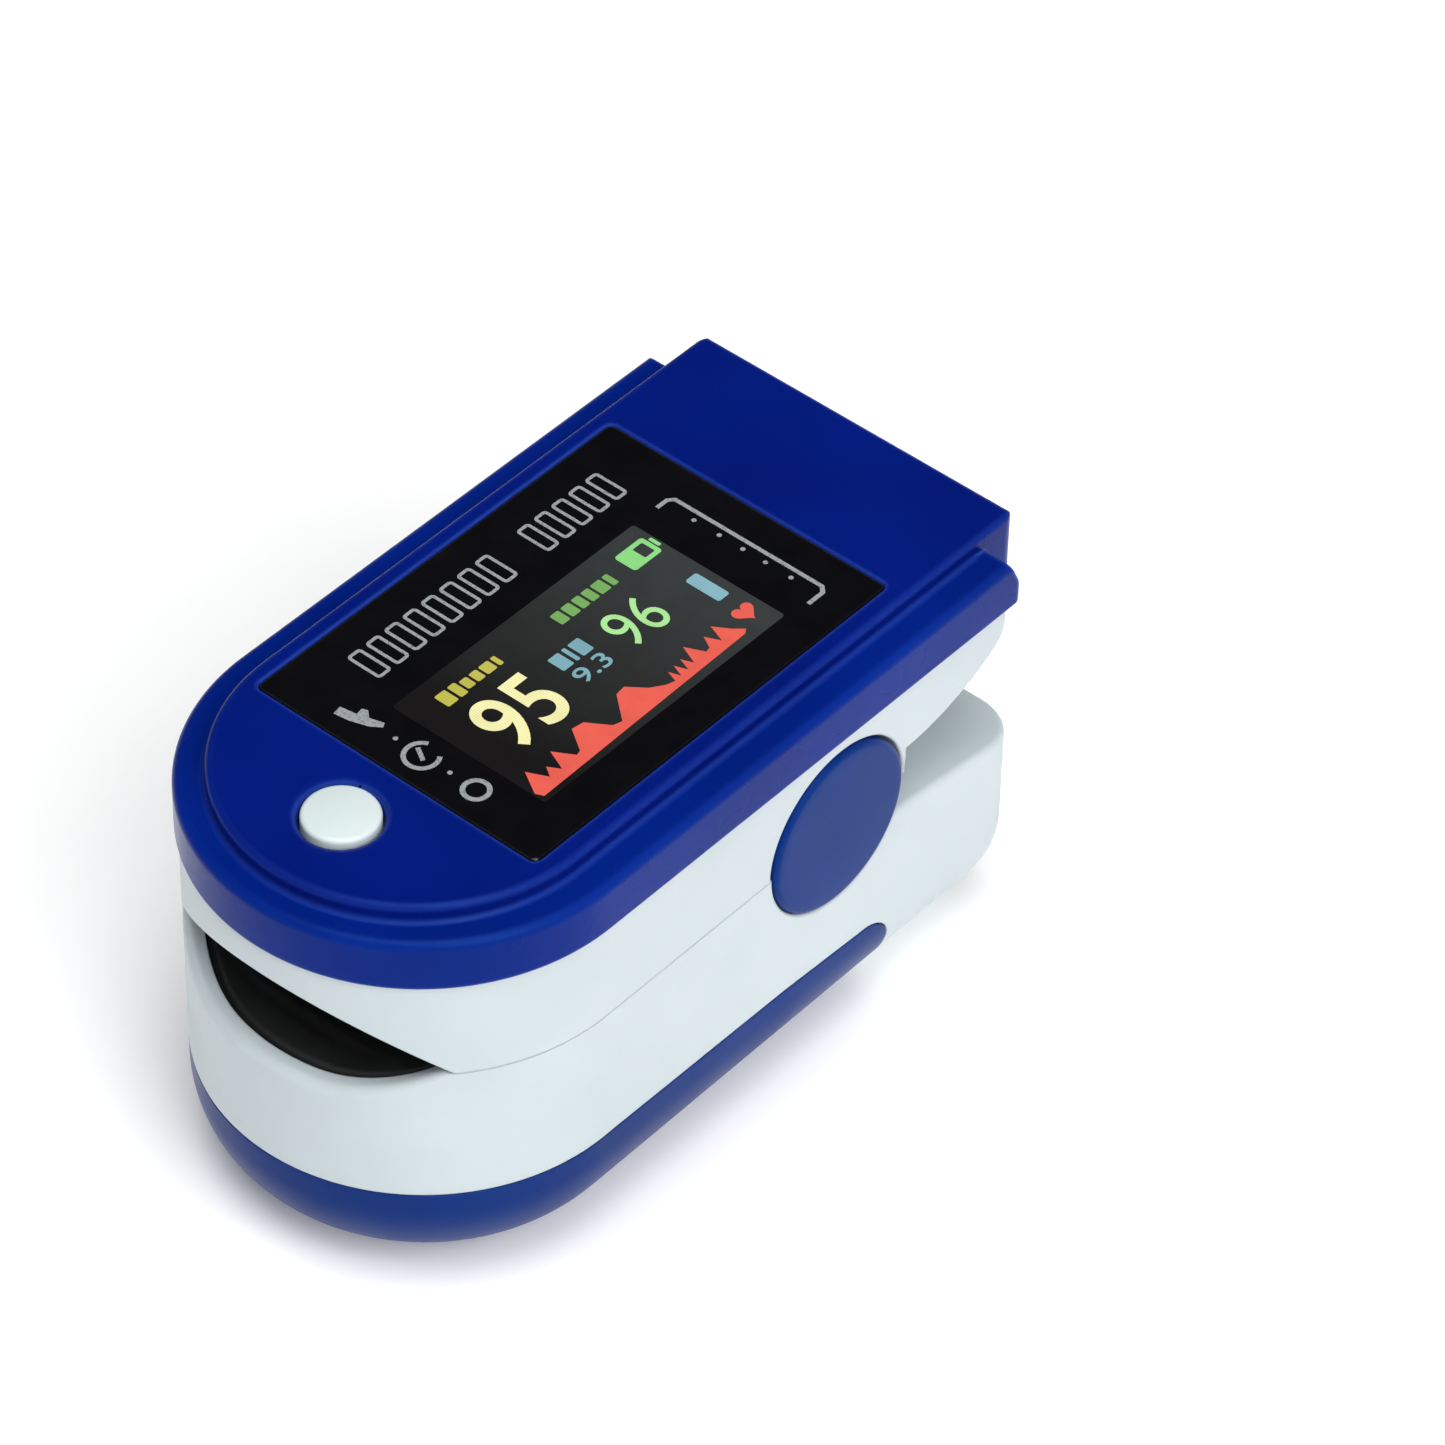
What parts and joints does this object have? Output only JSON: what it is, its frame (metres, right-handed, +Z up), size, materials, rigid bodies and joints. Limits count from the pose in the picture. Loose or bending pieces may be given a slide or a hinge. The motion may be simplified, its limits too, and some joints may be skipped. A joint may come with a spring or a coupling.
{
  "type": "fingertip pulse oximeter",
  "caption": "Clip-on fingertip pulse oximeter: sprung blue and white jaws with a padded finger channel, dark display window, push button, round hinge covers and a slide-off battery door.",
  "frame": {"origin": "centre of the bounding box on the resting plane, under the battery door", "axes": "+Y from the finger mouth to the squeeze end, along the length; +X to the right across the width; +Z up through the display"},
  "size_m": [0.0304, 0.0566, 0.0323],
  "materials": {
    "blue_plastic": "moulded ABS, glossy",
    "white_plastic": "moulded ABS, satin",
    "window_lens": "dark polished acrylic",
    "display_panel": "OLED glass",
    "foam": "black foam frame",
    "button_plastic": "moulded, satin",
    "silicone": "black silicone",
    "clear_lens": "clear polycarbonate",
    "board": "glass-fibre circuit board",
    "component": "moulded electronic part",
    "emitter": "clear-cased emitter",
    "steel": "bright steel",
    "nickel_contact": "nickel-plated spring steel",
    "flex": "polyimide flex",
    "cell_sleeve": "printed sleeve on a metal can"
  },
  "bodies": {
    "lower_jaw": {"lower_pad": "silicone", "detector_lens": "clear_lens", "sensor_board": "board", "photodiode": "component", "lower_shell": "white_plastic", "hinge_pins": "steel", "hinge_disc_left": "blue_plastic", "hinge_disc_right": "blue_plastic", "torsion_springs": "steel", "flex_cable": "flex", "board_screws": "steel", "aaa_cell_left": "cell_sleeve", "aaa_cell_right": "cell_sleeve", "bridge_contact": "nickel_contact", "negative_contact": "nickel_contact", "positive_contact": "nickel_contact", "cell_springs": "nickel_contact"},
    "upper_jaw": {"top_cover": "blue_plastic", "display_window": "window_lens", "display_foam": "foam", "display_module": "display_panel", "tact_switch": "component", "main_board": "board", "board_chips": "component", "led_emitter": "emitter", "upper_screws": "steel", "upper_shell": "white_plastic", "upper_pad": "silicone", "emitter_lens": "clear_lens"},
    "power_button": {"power_button": "button_plastic", "switch_plunger": "component"},
    "battery_door": {"battery_door": "blue_plastic"}
  },
  "joints": [
    {"name": "jaw_hinge", "type": "hinge", "parent": "lower_jaw", "child": "upper_jaw", "pos_m": [0, 0.00876, 0.01943], "axis": [-1, 0, 0], "range_deg": [0, 20], "stiffness_Nm_per_rad": 0.12, "springref_deg": -57.3, "deforming": ["torsion_springs", "flex_cable"]},
    {"name": "button_press", "type": "slide", "parent": "upper_jaw", "child": "power_button", "axis": [0, 0, -1], "range_m": [0, 0.0003], "stiffness_N_per_m": 500, "springref_m": -0.0015},
    {"name": "door_slide", "type": "slide", "parent": "lower_jaw", "child": "battery_door", "axis": [0, -1, 0], "range_m": [0, 0.044]}
  ]
}
